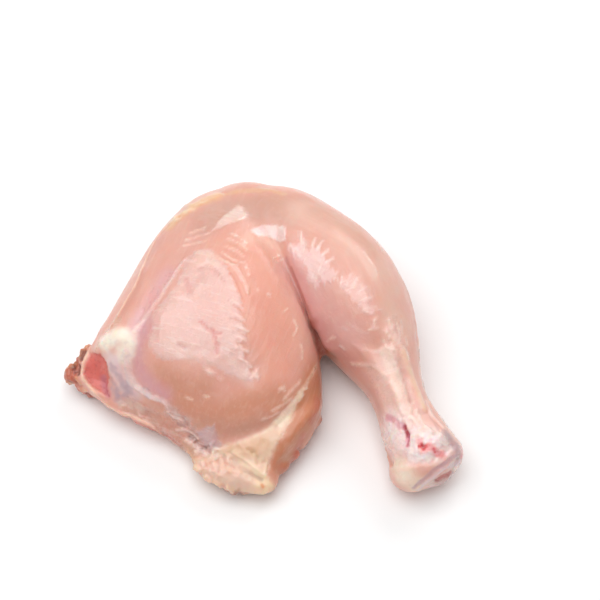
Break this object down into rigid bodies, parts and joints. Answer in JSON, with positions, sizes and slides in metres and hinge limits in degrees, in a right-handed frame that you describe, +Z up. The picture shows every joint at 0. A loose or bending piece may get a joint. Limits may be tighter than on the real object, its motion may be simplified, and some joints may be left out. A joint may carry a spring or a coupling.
{
  "type": "chicken leg",
  "caption": "Raw skinless chicken leg lying on its side: a broad thigh bent at the knee into a tapering drumstick with a cut ankle knuckle.",
  "frame": {"origin": "middle of the leg's footprint, on the surface that it lies on", "axes": "+X across the leg from the cut hip corner to the ankle, +Y from the ankle end towards the bent knee, +Z up"},
  "size_m": [0.146, 0.125, 0.042],
  "materials": {
    "raw_meat": "wet raw meat, pale pink and peach, with yellowish fat and thin whitish membranes"
  },
  "bodies": {
    "root": {"chicken_leg": "raw_meat"}
  },
  "joints": []
}
